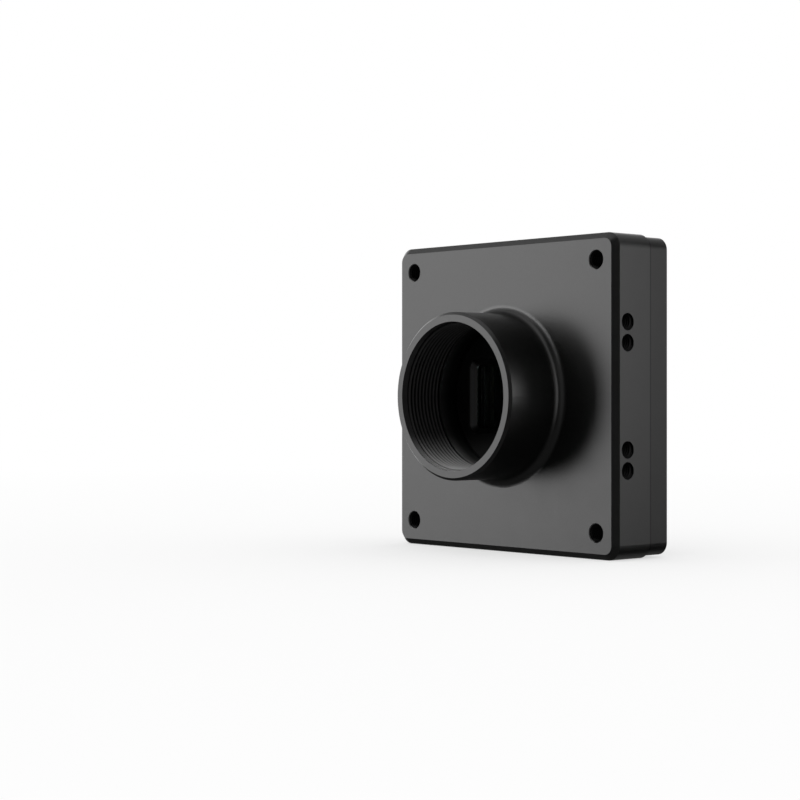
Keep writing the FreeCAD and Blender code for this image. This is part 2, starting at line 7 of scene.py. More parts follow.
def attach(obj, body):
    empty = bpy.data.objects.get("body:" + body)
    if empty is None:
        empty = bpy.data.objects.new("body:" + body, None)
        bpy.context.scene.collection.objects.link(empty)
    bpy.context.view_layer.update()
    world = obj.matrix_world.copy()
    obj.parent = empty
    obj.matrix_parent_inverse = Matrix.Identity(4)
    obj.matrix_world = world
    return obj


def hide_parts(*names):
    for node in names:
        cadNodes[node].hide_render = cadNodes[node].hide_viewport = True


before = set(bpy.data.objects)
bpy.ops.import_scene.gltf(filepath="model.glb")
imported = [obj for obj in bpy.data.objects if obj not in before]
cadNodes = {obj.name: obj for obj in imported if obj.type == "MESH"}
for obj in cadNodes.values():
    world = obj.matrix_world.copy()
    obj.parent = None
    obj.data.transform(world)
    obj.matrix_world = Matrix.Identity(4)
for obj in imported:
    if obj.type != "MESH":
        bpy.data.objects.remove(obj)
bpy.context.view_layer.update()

# Machine vision camera. The lens looks along -Y, the sockets face +Y, and +Z is up.
# Places and sizes are written in millimetres and turned to metres with mm.
mm = 0.001
print("frame:", len(cadNodes), "nodes")

# what the pieces share: distances in millimetres, angles in degrees
making = {
    "merge": 0.001, "fineMerge": 0.0001, "flatAngle": 0.5, "smoothAngle": 60, "threadAngle": 40,
    "bevelAngle": 50, "bevelSegments": 2, "flatWeight": 90,
    "along": 0.9,      # an edge runs along an axis when this much of its direction does
}
# axes of the threaded holes: four in the front's corners, and four in each side
holePlaces = {"cornerX": 22.6, "cornerZ": 22.55, "sideY": 14.5, "sideZ": (8.8, 12.25)}


# Modelling helpers

def clearSelection():
    bpy.ops.object.select_all(action="DESELECT")


def makeActive(piece):
    clearSelection()
    piece.select_set(True)
    bpy.context.view_layer.objects.active = piece


def settle(piece, name):
    # the place, turn and size go into the mesh, so the object stays at the origin
    makeActive(piece)
    piece.name = name
    piece.data.name = name
    bpy.ops.object.transform_apply(location=True, rotation=True, scale=True)
    return piece


def addBlock(name, low, high):
    centre = [(a + b) / 2 * mm for a, b in zip(low, high)]
    size = [(b - a) * mm for a, b in zip(low, high)]
    clearSelection()
    bpy.ops.mesh.primitive_cube_add(size=1, location=centre, scale=size)
    return settle(bpy.context.object, name)


def addRod(name, radius, start, end, x, z, sides):
    # a cylinder along Y
    clearSelection()
    bpy.ops.mesh.primitive_cylinder_add(
        vertices=sides, radius=radius * mm, depth=(end - start) * mm,
        location=(x * mm, (start + end) / 2 * mm, z * mm), rotation=(math.pi / 2, 0, 0))
    return settle(bpy.context.object, name)


def addStrip(name, x, y, z, width, length):
    # a flat rectangle, wide along X and long along Y
    clearSelection()
    bpy.ops.mesh.primitive_plane_add(size=1, location=(x * mm, y * mm, z * mm))
    strip = bpy.context.object
    strip.scale = (width * mm, length * mm, 1)
    return settle(strip, name)


def selectMesh(action="SELECT"):
    bpy.ops.mesh.select_all(action=action)


def enterEdit(piece, kind):
    makeActive(piece)
    bpy.ops.object.mode_set(mode="EDIT")
    bpy.ops.mesh.select_mode(type=kind)
    selectMesh("DESELECT")


def leaveEdit():
    bpy.ops.object.mode_set(mode="OBJECT")


def pickEdges(piece, wanted):
    # wanted gets the middle of an edge in millimetres and its direction
    grid = bmesh.from_edit_mesh(piece.data)
    for edge in grid.edges:
        a, b = edge.verts[0].co, edge.verts[1].co
        edge.select_set(bool(wanted((a + b) / 2 / mm, (b - a).normalized())))
    bmesh.update_edit_mesh(piece.data)


def mergeDoubles(distance):
    selectMesh()
    bpy.ops.mesh.remove_doubles(threshold=distance * mm)


def faceOutwards():
    selectMesh()
    bpy.ops.mesh.normals_make_consistent(inside=False)


def tidyMesh(piece):
    enterEdit(piece, "VERT")
    mergeDoubles(making["merge"])
    bpy.ops.mesh.dissolve_limited(angle_limit=math.radians(making["flatAngle"]))
    faceOutwards()
    leaveEdit()


def applyModifier(piece, kind, **settings):
    makeActive(piece)
    modifier = piece.modifiers.new(kind.title(), kind)
    for key, value in settings.items():
        setattr(modifier, key, value)
    bpy.ops.object.modifier_apply(modifier=modifier.name)


def combine(piece, tool, operation="DIFFERENCE"):
    applyModifier(piece, "BOOLEAN", object=tool, operation=operation, solver="EXACT")
    bpy.data.objects.remove(tool)


def softenEdges(piece, width):
    applyModifier(piece, "BEVEL", width=width * mm, segments=making["bevelSegments"],
                  limit_method="ANGLE", angle_limit=math.radians(making["bevelAngle"]))


def smoothShade(piece, angle):
    makeActive(piece)
    bpy.ops.object.shade_smooth_by_angle(angle=math.radians(angle))


def flatFaces(piece):
    # smooth round the small bevels only, so that the large faces stay flat
    smoothShade(piece, making["smoothAngle"])
    applyModifier(piece, "WEIGHTED_NORMAL", keep_sharp=True, weight=making["flatWeight"])


def copyTo(piece, name, matrix):
    twin = piece.copy()
    twin.data = piece.data.copy()
    twin.name = name
    twin.data.name = name
    bpy.context.scene.collection.objects.link(twin)
    twin.data.transform(matrix)
    return twin


def joinPieces(pieces, name):
    clearSelection()
    for piece in pieces:
        piece.select_set(True)
    bpy.context.view_layer.objects.active = pieces[0]
    bpy.ops.object.join()
    return settle(pieces[0], name)


def register(piece, slotName, *replaced):
    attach(piece, "root")
    if replaced:
        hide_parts(*replaced)
    piece.data.materials.clear()
    piece.data.materials.append(finishes[slotName])


# Material helpers

noiseLow, noiseHigh = 0.3, 0.7      # nearly all of a noise texture's values lie between these


def newFinish(name):
    material = bpy.data.materials.new(name)
    material.use_nodes = True
    shader = material.node_tree.nodes["Principled BSDF"]
    return material, material.node_tree, shader


def addNode(tree, kind, **settings):
    node = tree.nodes.new(kind)
    for key, value in settings.items():
        setattr(node, key, value)
    return node


def plug(tree, source, target):
    tree.links.new(source, target)


def feed(tree, source, target):
    # a number is set on the socket, and an output is linked to it
    if isinstance(source, (int, float)):
        target.default_value = source
    else:
        plug(tree, source, target)


def mathNode(tree, operation, first, second=None):
    node = addNode(tree, "ShaderNodeMath", operation=operation)
    feed(tree, first, node.inputs[0])
    if second is not None:
        feed(tree, second, node.inputs[1])
    return node.outputs[0]


def product(tree, *factors):
    result = factors[0]
    for factor in factors[1:]:
        result = mathNode(tree, "MULTIPLY", result, factor)
    return result


def ramp(tree, value, low, high, toLow, toHigh, shape="LINEAR"):
    node = addNode(tree, "ShaderNodeMapRange", interpolation_type=shape)
    for socket, source in (("Value", value), ("From Min", low), ("From Max", high),
                           ("To Min", toLow), ("To Max", toHigh)):
        feed(tree, source, node.inputs[socket])
    return node.outputs["Result"]


def above(tree, value, low):
    return mathNode(tree, "GREATER_THAN", value, low * mm)


def below(tree, value, high):
    return mathNode(tree, "LESS_THAN", value, high * mm)


def within(tree, value, low, high):
    return product(tree, above(tree, value, low), below(tree, value, high))


def inside(tree, mask, value):
    # 1 outside the mask, and the value inside it
    return ramp(tree, mask, 0, 1, 1, value)


def fromAxis(tree, first, firstPlace, second, secondPlace):
    # distance from an axis, in the plane across it
    a = mathNode(tree, "SUBTRACT", first, firstPlace * mm)
    b = mathNode(tree, "SUBTRACT", second, secondPlace * mm)
    squares = mathNode(tree, "ADD", product(tree, a, a), product(tree, b, b))
    return mathNode(tree, "SQRT", squares)


def objectPoint(tree):
    return addNode(tree, "ShaderNodeTexCoord").outputs["Object"]


def axesOf(tree, point):
    axes = addNode(tree, "ShaderNodeSeparateXYZ")
    plug(tree, point, axes.inputs[0])
    return axes.outputs


def noise(tree, point, scale, detail=2):
    node = addNode(tree, "ShaderNodeTexNoise")
    plug(tree, point, node.inputs["Vector"])
    node.inputs["Scale"].default_value = scale
    node.inputs["Detail"].default_value = detail
    return node.outputs["Fac"]


def stretched(tree, point, scale):
    node = addNode(tree, "ShaderNodeMapping")
    plug(tree, point, node.inputs["Vector"])
    node.inputs["Scale"].default_value = scale
    return node.outputs["Vector"]


def blendColour(tree, amount, first, second):
    node = addNode(tree, "ShaderNodeMix", data_type="RGBA")
    plug(tree, amount, node.inputs["Factor"])
    for index, value in ((6, first), (7, second)):
        if isinstance(value, tuple):
            node.inputs[index].default_value = value + (1,)
        else:
            plug(tree, value, node.inputs[index])
    return node.outputs[2]


def vary(tree, texture, middle, spread):
    # a noise texture's values, brought to the middle plus and minus the spread
    return ramp(tree, texture, noiseLow, noiseHigh, middle - spread, middle + spread)


def varyRoughness(tree, shader, texture, roughness, spread):
    plug(tree, vary(tree, texture, roughness, spread), shader.inputs["Roughness"])


def addBump(tree, shader, height, distance):
    node = addNode(tree, "ShaderNodeBump")
    node.inputs["Strength"].default_value = 1.0
    node.inputs["Distance"].default_value = distance * mm
    plug(tree, height, node.inputs["Height"])
    plug(tree, node.outputs["Normal"], shader.inputs["Normal"])


# Finishes, one for each slot of the record

housingValues = {
    **holePlaces, "base": 0.15, "roughness": 0.32, "roughSpread": 0.012, "grainScale": 9000,
    "grainTone": 0.04, "grainDepth": 0.0008, "mottleScale": 260, "mottle": 0.015,
    # inside the lens collar the coat is duller; painted shade makes it dark between the threads and darker
    # with depth
    "boreRadius": 12.9, "boreSpan": (0.1, 12.95), "boreMetal": 0.5, "threadStart": 1.2,
    "crestRadius": 12.4, "valleyRadius": 12.64, "valleyShadeTone": 0.05,
    "deepSpan": (8.4, 10.5), "deepShadeTones": (0.75, 0.13),
    # painted light and shade: the bore is painted lighter towards its foot, as if lit from above, darker in
    # its middle, and a little lighter again in its upper part
    "lowerSpan": (-13.5, -6.0), "lowerPaintedLight": (3.7, 0.32), "upperSpan": (0.0, 8.0),
    "upperPaintedLight": (1.0, 2.0),
    # painted shade darkens the small holes inside, and a painted highlight lightens the corner ones' rim
    "cornerStart": 11.7, "sideX": 26.9, "holeRadius": 1.52, "holeShadeTone": 0.22,
    "rimRadii": (1.49, 1.66), "rimSpan": (11.604, 11.76), "rimHighlightTone": 3.0,
}
coverValues = dict(
    housingValues, base=0.125,
    # painted shade: the step behind the housing's rim is painted darker
    jointEnd=20.62, jointShadeTone=0.72,
    # painted light: the rear face is painted lighter, most at its foot, and painted shade darkens the bevel
    # round it
    faceHalf=26.2, faceStart=24.4, faceHeights=(-20.0, 20.0), facePaintedLight=(2.1, 1.45),
    bevelStart=24.64, bevelShadeTone=0.35,
    # the low walls round the recess are duller than the faces
    recess=((-11.8, 13.1), (24.52, 25.08), (-3.3, 18.2)), recessMetal=0.2,
)


def span(values, name):
    return [place * mm for place in values[name]]


def anodisedFinish(name, values):
    # bead-blasted black anodise, with painted shade in the holes, between the threads and deep in the bore,
    # painted light in the bore and on the cover's rear face, and a painted highlight on the corner holes'
    # rims
    material, tree, shader = newFinish(name)
    point = objectPoint(tree)
    place = axesOf(tree, point)
    y, height = place["Y"], place["Z"]
    x = mathNode(tree, "ABSOLUTE", place["X"])
    z = mathNode(tree, "ABSOLUTE", height)
    grain = noise(tree, point, values["grainScale"], detail=3)
    mottle = noise(tree, point, values["mottleScale"], detail=4)
    level = product(tree, vary(tree, mottle, 1, values["mottle"]), vary(tree, grain, 1, values["grainTone"]))

    # painted shade inside the small holes, and a painted highlight on the corner holes' rims
    fromCorner = fromAxis(tree, x, values["cornerX"], z, values["cornerZ"])
    holes = product(tree, below(tree, fromCorner, values["holeRadius"]),
                    above(tree, y, values["cornerStart"]))
    for sideZ in values["sideZ"]:
        fromSide = fromAxis(tree, y, values["sideY"], z, sideZ)
        hole = product(tree, below(tree, fromSide, values["holeRadius"]),
                       within(tree, x, values["cornerX"], values["sideX"]))
        holes = mathNode(tree, "MAXIMUM", holes, hole)
    rims = product(tree, within(tree, fromCorner, *values["rimRadii"]),
                   within(tree, y, *values["rimSpan"]))
    level = product(tree, level, inside(tree, holes, values["holeShadeTone"]),
                    inside(tree, rims, values["rimHighlightTone"]))

    fromCentre = fromAxis(tree, x, 0, z, 0)
    bore = product(tree, below(tree, fromCentre, values["boreRadius"]),
                   within(tree, y, *values["boreSpan"]))
    threaded = product(tree, bore, above(tree, y, values["threadStart"]))
    # painted shade: darker between the threads and deeper in the bore
    crest = ramp(tree, fromCentre, values["crestRadius"] * mm, values["valleyRadius"] * mm,
                 1, values["valleyShadeTone"])
    depth = ramp(tree, y, *span(values, "deepSpan"), *values["deepShadeTones"])
    # painted light towards the bore's foot and in its upper part, painted shade in its middle
    lower = ramp(tree, height, *span(values, "lowerSpan"), *values["lowerPaintedLight"], "SMOOTHSTEP")
    upper = ramp(tree, height, *span(values, "upperSpan"), *values["upperPaintedLight"])
    level = product(tree, level, inside(tree, threaded, product(tree, crest, depth)),
                    inside(tree, bore, product(tree, lower, upper)))
    metal = inside(tree, bore, values["boreMetal"])

    if "recess" in values:
        # the rear face is painted lighter, most at its foot, and its bevel darker: painted light and painted
        # shade
        outward = mathNode(tree, "MAXIMUM", x, z)
        face = product(tree, below(tree, outward, values["faceHalf"]), above(tree, y, values["faceStart"]))
        bevel = product(tree, above(tree, outward, values["faceHalf"]),
                        above(tree, y, values["bevelStart"]))
        # painted shade on the step behind the housing's rim
        joint = below(tree, y, values["jointEnd"])
        lift = ramp(tree, height, *span(values, "faceHeights"), *values["facePaintedLight"])
        level = product(tree, level, inside(tree, joint, values["jointShadeTone"]),
                        inside(tree, face, lift), inside(tree, bevel, values["bevelShadeTone"]))
        sides = [within(tree, place[axis], *ends) for axis, ends in zip("XYZ", values["recess"])]
        metal = product(tree, metal, inside(tree, product(tree, *sides), values["recessMetal"]))

    tone = product(tree, level, values["base"])
    colour = addNode(tree, "ShaderNodeCombineColor")
    for channel in ("Red", "Green", "Blue"):
        plug(tree, tone, colour.inputs[channel])
    plug(tree, colour.outputs[0], shader.inputs["Base Color"])
    plug(tree, metal, shader.inputs["Metallic"])
    varyRoughness(tree, shader, mottle, values["roughness"], values["roughSpread"])
    addBump(tree, shader, grain, values["grainDepth"])
    return material


# colour, second colour, metallic, roughness, roughness spread, grain per metre, grain depth in mm
plainFinishes = {
    "seal_rubber": ((0.012, 0.012, 0.012), (0.02, 0.02, 0.02), 0.0, 0.7, 0.08, 3500, 0.004),
    "small_screw_steel": ((0.62, 0.61, 0.58), (0.5, 0.49, 0.47), 1.0, 0.3, 0.06, 2600, 0.001),
    "frame_alloy": ((0.06, 0.06, 0.06), (0.09, 0.09, 0.09), 1.0, 0.42, 0.05, 6000, 0.001),
    "ceramic": ((0.05, 0.045, 0.04), (0.075, 0.07, 0.062), 0.0, 0.55, 0.06, 5200, 0.002),
    "spacer_steel": ((0.66, 0.64, 0.6), (0.54, 0.52, 0.49), 1.0, 0.3, 0.05, 2600, 0.001),
    "connector_plastic": ((0.55, 0.5, 0.38), (0.48, 0.43, 0.32), 0.0, 0.45, 0.05, 4200, 0.002),
    "chip_plastic": ((0.018, 0.018, 0.019), (0.03, 0.03, 0.03), 0.0, 0.52, 0.07, 6500, 0.003),
    "pad_silicone": ((0.3, 0.36, 0.42), (0.24, 0.3, 0.36), 0.0, 0.65, 0.08, 3000, 0.004),
    "crystal_can": ((0.75, 0.73, 0.68), (0.62, 0.6, 0.56), 1.0, 0.22, 0.05, 3000, 0.001),
    "magnetics_plastic": ((0.015, 0.015, 0.016), (0.026, 0.026, 0.027), 0.0, 0.46, 0.06, 5200, 0.003),
    "ferrite": ((0.045, 0.043, 0.042), (0.07, 0.066, 0.062), 0.0, 0.6, 0.08, 4800, 0.004),
    "capacitor_body": ((0.36, 0.22, 0.09), (0.28, 0.17, 0.07), 0.0, 0.48, 0.06, 4200, 0.002),
    "header_plastic": ((0.05, 0.05, 0.05), (0.036, 0.036, 0.036), 0.4, 0.42, 0.04, 5200, 0.002),
    "gold_contact": ((0.83, 0.6, 0.24), (0.7, 0.48, 0.18), 1.0, 0.24, 0.06, 2600, 0.0008),
    "led_body": ((0.74, 0.73, 0.68), (0.64, 0.63, 0.58), 0.0, 0.35, 0.05, 4200, 0.002),
}
plainBlend = {"grain": 0.4, "cloud": 0.6, "cloudSize": 9, "low": 0.35, "high": 0.65}


def plainFinish(name, colour, second, metallic, rough, spread, scale, depth):
    # two near colours, mixed by fine grain and by larger clouds
    material, tree, shader = newFinish(name)
    point = objectPoint(tree)
    grain = noise(tree, point, scale, detail=3)
    cloud = noise(tree, point, scale / plainBlend["cloudSize"], detail=4)
    amount = mathNode(tree, "ADD", product(tree, grain, plainBlend["grain"]),
                      product(tree, cloud, plainBlend["cloud"]))
    amount = ramp(tree, amount, plainBlend["low"], plainBlend["high"], 0, 1)
    plug(tree, blendColour(tree, amount, colour, second), shader.inputs["Base Color"])
    shader.inputs["Metallic"].default_value = metallic
    varyRoughness(tree, shader, cloud, rough, spread)
    addBump(tree, shader, grain, depth)
    return material


glassFinishes = {
    "filter_glass": {"tint": (0.86, 0.95, 0.93), "coat": (0.6, 1.0, 0.8)},
    "cover_glass": {"tint": (0.97, 0.97, 0.97), "coat": (0.85, 0.8, 1.0)},
}
glassValues = {
    "roughness": 0.02, "ior": 1.5, "darker": 0.93, "cloudScale": 900, "speckScale": 5200,
    "speckLow": 0.7, "speckHigh": 0.78, "speckRoughness": 0.15,
}


def glassFinish(name, values):
    # coated optical glass: faint tint, a few specks of dust in the roughness
    material, tree, shader = newFinish(name)
    point = objectPoint(tree)
    cloud = noise(tree, point, values["cloudScale"], detail=5)
    speck = ramp(tree, noise(tree, point, values["speckScale"], detail=1),
                 values["speckLow"], values["speckHigh"], 0, values["speckRoughness"])
    darker = tuple(values["darker"] * channel for channel in values["tint"])
    plug(tree, blendColour(tree, cloud, values["tint"], darker), shader.inputs["Base Color"])
    plug(tree, mathNode(tree, "ADD", speck, values["roughness"]), shader.inputs["Roughness"])
    shader.inputs["Transmission Weight"].default_value = 1.0
    shader.inputs["IOR"].default_value = values["ior"]
    shader.inputs["Specular Tint"].default_value = values["coat"] + (1,)
    return material


boardValues = {
    "resist": (0.006, 0.045, 0.022), "track": (0.012, 0.085, 0.04), "zoneScale": 130, "wave": 7225.45,
    "edgeLow": 0.1, "edgeHigh": 0.4, "roughness": 0.36, "roughSpread": 0.06, "roughScale": 2600,
    "copperHeight": 0.012,
}


def boardFinish(name, values):
    # dark green solder resist over a copper fill with fine tracks, which run across or along by zones
    material, tree, shader = newFinish(name)
    point = objectPoint(tree)
    place = axesOf(tree, point)
    zone = noise(tree, stretched(tree, point, (values["zoneScale"],) * 3), 1, detail=0)
    across, along = [mathNode(tree, "SINE", product(tree, place[axis], values["wave"])) for axis in "ZX"]
    side = mathNode(tree, "GREATER_THAN", zone, 0.5)
    lines = mathNode(tree, "ADD", product(tree, across, side),
                     product(tree, along, mathNode(tree, "SUBTRACT", 1, side)))
    copper = ramp(tree, lines, values["edgeLow"], values["edgeHigh"], 0, 1)
    plug(tree, blendColour(tree, copper, values["resist"], values["track"]), shader.inputs["Base Color"])
    varyRoughness(tree, shader, noise(tree, point, values["roughScale"]),
                  values["roughness"], values["roughSpread"])
    addBump(tree, shader, copper, values["copperHeight"])
    return material


siliconValues = {
    "field": (0.028, 0.03, 0.034), "border": (0.11, 0.1, 0.085), "pads": (0.3, 0.26, 0.2),
    "padScale": (6000, 6000, 900), "padLow": 0.45, "padHigh": 0.55, "pixel": 29000, "halfWidth": 7.1,
    "halfHeight": 5.3, "roughLow": 0.16, "roughHigh": 0.24, "latticeDepth": 0.0006, "metallic": 0.6,
    "coat": 0.5, "coatTint": (0.7, 1.0, 0.85),
}


def siliconFinish(name, values):
    # the pixel field of the sensor: fine lattice under a greenish brown sheen, with a pale pad border
    material, tree, shader = newFinish(name)
    point = objectPoint(tree)
    place = axesOf(tree, point)
    field = product(tree, below(tree, mathNode(tree, "ABSOLUTE", place["X"]), values["halfWidth"]),
                    below(tree, mathNode(tree, "ABSOLUTE", place["Z"]), values["halfHeight"]))
    waves = [mathNode(tree, "SINE", product(tree, place[axis], values["pixel"])) for axis in "XZ"]
    lattice = product(tree, *waves)
    border = noise(tree, stretched(tree, point, values["padScale"]), 1)
    border = ramp(tree, border, values["padLow"], values["padHigh"], 0, 1)
    rim = blendColour(tree, border, values["border"], values["pads"])
    plug(tree, blendColour(tree, field, rim, values["field"]), shader.inputs["Base Color"])
    roughness = ramp(tree, lattice, -1, 1, values["roughLow"], values["roughHigh"])
    plug(tree, roughness, shader.inputs["Roughness"])
    shader.inputs["Metallic"].default_value = values["metallic"]
    shader.inputs["Coat Weight"].default_value = values["coat"]
    shader.inputs["Coat Tint"].default_value = values["coatTint"] + (1,)
    addBump(tree, shader, lattice, values["latticeDepth"])
    return material


screwValues = {
    **holePlaces, "base": (0.99, 0.99, 0.98), "second": (0.96, 0.96, 0.95), "metallic": 0.3,
    "roughness": 0.3, "roughSpread": 0.02, "scale": 2600,
    "driveRadius": 1.45, "driveTop": 24.955, "driveShadeTone": 0.34,
}


def platedFinish(name, values):
    # bright plated steel, with painted shade inside the drive
    material, tree, shader = newFinish(name)
    point = objectPoint(tree)
    place = axesOf(tree, point)
    reach = fromAxis(tree, mathNode(tree, "ABSOLUTE", place["X"]), values["cornerX"],
                     mathNode(tree, "ABSOLUTE", place["Z"]), values["cornerZ"])
    # painted shade inside the drive recess
    drive = product(tree, below(tree, reach, values["driveRadius"]),
                    below(tree, place["Y"], values["driveTop"]))
    cloud = noise(tree, point, values["scale"], detail=3)
    bright = blendColour(tree, cloud, values["base"], values["second"])
    dark = tuple(values["driveShadeTone"] * channel for channel in values["base"])
    plug(tree, blendColour(tree, drive, bright, dark), shader.inputs["Base Color"])
    shader.inputs["Metallic"].default_value = values["metallic"]
    varyRoughness(tree, shader, cloud, values["roughness"], values["roughSpread"])
    return material


jackValues = {
    # painted light and shade: the front face is written lighter than the walls, though the shell is one
    # plastic
    "face": (0.25, 0.25, 0.25), "second": (0.235, 0.235, 0.235), "wall": (0.04, 0.04, 0.04),
    "faceStart": 35.6, "metallic": 0.95, "roughness": 0.34, "roughSpread": 0.02, "scale": 5200,
    "grainDepth": 0.001,
}


def mouldedFinish(name, values):
    # satin shell, with painted light on its front face and painted shade on its walls
    material, tree, shader = newFinish(name)
    point = objectPoint(tree)
    place = axesOf(tree, point)
    # the front face is painted lighter and the walls darker: painted light and painted shade
    front = above(tree, place["Y"], values["faceStart"])
    grain = noise(tree, point, values["scale"], detail=3)
    face = blendColour(tree, grain, values["face"], values["second"])
    plug(tree, blendColour(tree, front, values["wall"], face), shader.inputs["Base Color"])
    shader.inputs["Metallic"].default_value = values["metallic"]
    varyRoughness(tree, shader, grain, values["roughness"], values["roughSpread"])
    addBump(tree, shader, grain, values["grainDepth"])
    return material


pipeValues = {
    "colour": (0.012, 0.012, 0.012), "second": (0.02, 0.02, 0.02), "scale": 1800, "roughness": 0.36,
    "roughSpread": 0.06, "transmission": 0.3, "specular": 0.15, "grainDepth": 0.003,
}


def pipeFinish(name, values):
    # smoke-tinted, so the status light only shows when it is lit
    material, tree, shader = newFinish(name)
    point = objectPoint(tree)
    cloud = noise(tree, point, values["scale"], detail=3)
    plug(tree, blendColour(tree, cloud, values["colour"], values["second"]), shader.inputs["Base Color"])
    varyRoughness(tree, shader, cloud, values["roughness"], values["roughSpread"])
    shader.inputs["Transmission Weight"].default_value = values["transmission"]
    shader.inputs["Specular IOR Level"].default_value = values["specular"]
    addBump(tree, shader, cloud, values["grainDepth"])
    return material


finishes = {slot: plainFinish(slot, *values) for slot, values in plainFinishes.items()}
for slot, values in glassFinishes.items():
    finishes[slot] = glassFinish(slot, dict(glassValues, **values))
for slot, make, values in (
        ("housing_alloy", anodisedFinish, housingValues), ("cover_alloy", anodisedFinish, coverValues),
        ("board", boardFinish, boardValues), ("silicon", siliconFinish, siliconValues),
        ("screw_steel", platedFinish, screwValues), ("jack_plastic", mouldedFinish, jackValues),
        ("pipe_plastic", pipeFinish, pipeValues)):
    finishes[slot] = make(slot, values)

for node in cadNodes.values():
    for materialSlot in node.material_slots:
        materialSlot.material = finishes[materialSlot.material.name.split(".")[0]]
print("finishes:", len(finishes))


# Threads: a screw-shaped ridge that stands on the wall of each threaded hole

def makeRidge(name, values):
    # the ridge's section is drawn in the XY plane and turned about Y
    middle = (values["wall"] + values["crest"]) / 2
    ridge = addStrip(name, middle, values["start"], 0, values["wall"] - values["crest"], values["foot"])
    enterEdit(ridge, "EDGE")
    pickEdges(ridge, lambda centre, way: abs(way.y) > making["along"] and centre.x < middle)
    bpy.ops.transform.resize(value=(1, values["top"] / values["foot"], 1))
    bpy.ops.mesh.select_mode(type="FACE")
    selectMesh()
    bpy.ops.mesh.delete(type="ONLY_FACE")
    leaveEdit()
    applyModifier(ridge, "SCREW", axis="Y", angle=2 * math.pi, steps=values["steps"],
                  render_steps=values["steps"], screw_offset=values["pitch"] * mm,
                  iterations=values["turns"], use_normal_calculate=True, use_smooth_shade=True)
    # the two ends are closed
    enterEdit(ridge, "VERT")
    mergeDoubles(making["fineMerge"])
    selectMesh("DESELECT")
    bpy.ops.mesh.select_non_manifold(extend=False)
    bpy.ops.mesh.edge_face_add()
    faceOutwards()
    leaveEdit()
    # the first and last part of a turn run out into the wall
    wall = values["wall"] * mm
    first = values["start"] * mm
    last = first + values["turns"] * values["pitch"] * mm
    fade = values["fade"] * values["pitch"] * mm
    for vertex in ridge.data.vertices:
        radius = math.hypot(vertex.co.x, vertex.co.z)
        share = min(1, max(0, (vertex.co.y - first) / fade), max(0, (last - vertex.co.y) / fade))
        wanted = wall + (radius - wall) * share
        vertex.co.x *= wanted / radius
        vertex.co.z *= wanted / radius
    return ridge


# fade is the share of a turn that runs out at each end
lensThread = {
    "wall": 12.71, "crest": 12.3, "start": 1.2, "pitch": 0.794, "turns": 9, "foot": 0.6, "top": 0.1,
    "steps": 120, "fade": 0.35,
}
thread = makeRidge("lensThread", lensThread)
smoothShade(thread, making["threadAngle"])
register(thread, "housing_alloy")

smallThread = {
    "wall": 1.51, "crest": 1.24, "start": 0.25, "pitch": 0.5, "turns": 7, "foot": 0.4, "top": 0.08,
    "steps": 28, "fade": 0.35, "front": 11.6, "side": 27.0, "sideShrink": 1.45 / 1.5,
}
ridge = makeRidge("smallRidge", smallThread)
corners = [(sx * holePlaces["cornerX"], sz * holePlaces["cornerZ"]) for sx in (-1, 1) for sz in (-1, 1)]
frontRidges = []
for x, z in corners:
    place = Vector((x, smallThread["front"], z)) * mm
    frontRidges.append(copyTo(ridge, "frontRidge", Matrix.Translation(place)))
sideRidges = []
sideHeights = sorted(sz * z for sz in (-1, 1) for z in holePlaces["sideZ"])
shrink = smallThread["sideShrink"]
for sx in (-1, 1):
    turn = Matrix.Rotation(sx * math.pi / 2, 4, "Z") @ Matrix.Diagonal((shrink, 1, shrink, 1))
    for z in sideHeights:
        place = Vector((sx * smallThread["side"], holePlaces["sideY"], z)) * mm
        sideRidges.append(copyTo(ridge, "sideRidge", Matrix.Translation(place) @ turn))
bpy.data.objects.remove(ridge)
for group, name in ((frontRidges, "frontHoleThreads"), (sideRidges, "sideHoleThreads")):
    joined = joinPieces(group, name)
    smoothShade(joined, making["threadAngle"])
    register(joined, "housing_alloy")
print("threads: lens thread and", len(frontRidges) + len(sideRidges), "small ones")


# Cover screws: countersunk, six-lobe drive

coverScrew = {
    "sides": 96, "drive": 6,
    # radius, height and lobe of each ring, from the recess's floor over the head to the tip
    "rings": (
        (0.35, 23.8, 0.0), (0.8, 23.87, 0.2), (0.93, 23.95, 0.25), (0.95, 24.86, 0.26), (1.0, 24.95, 0.27),
        (1.04, 24.97, 0.27), (1.6, 24.97, 0.08), (2.2, 24.97, 0.0), (2.68, 24.97, 0.0), (2.75, 24.955, 0.0),
        (2.79, 24.92, 0.0), (2.8, 24.86, 0.0), (2.78, 24.82, 0.0), (1.5, 23.54, 0.0), (1.47, 23.45, 0.0),
        (1.47, 18.27, 0.0), (1.15, 17.97, 0.0),
    ),
}


def makeScrew(values):
    radius, height, lobe = values["rings"][0]
    clearSelection()
    bpy.ops.mesh.primitive_circle_add(vertices=values["sides"], radius=radius * mm,
                                      location=(0, height * mm, 0), rotation=(math.pi / 2, 0, 0))
    screw = settle(bpy.context.object, "coverScrew")
    enterEdit(screw, "EDGE")
    selectMesh()
    bpy.ops.mesh.edge_face_add()
    for radius, height, lobe in values["rings"][1:]:
        bpy.ops.mesh.extrude_edges_move()
        grid = bmesh.from_edit_mesh(screw.data)
        for vertex in grid.verts:
            if vertex.select:
                turn = math.atan2(vertex.co.z, vertex.co.x)
                reach = (radius + lobe * math.cos(values["drive"] * turn)) * mm
                vertex.co = (reach * math.cos(turn), height * mm, reach * math.sin(turn))
        bmesh.update_edit_mesh(screw.data)
    bpy.ops.mesh.edge_face_add()
    faceOutwards()
    leaveEdit()
    return screw


screw = makeScrew(coverScrew)
screws = [copyTo(screw, "coverScrew", Matrix.Translation(Vector((x, 0, z)) * mm)) for x, z in corners]
bpy.data.objects.remove(screw)
coverScrews = joinPieces(screws, "coverScrews")
flatFaces(coverScrews)
register(coverScrews, "screw_steel", "cover_screws")
print("cover screws:", len(screws))


# Network jack

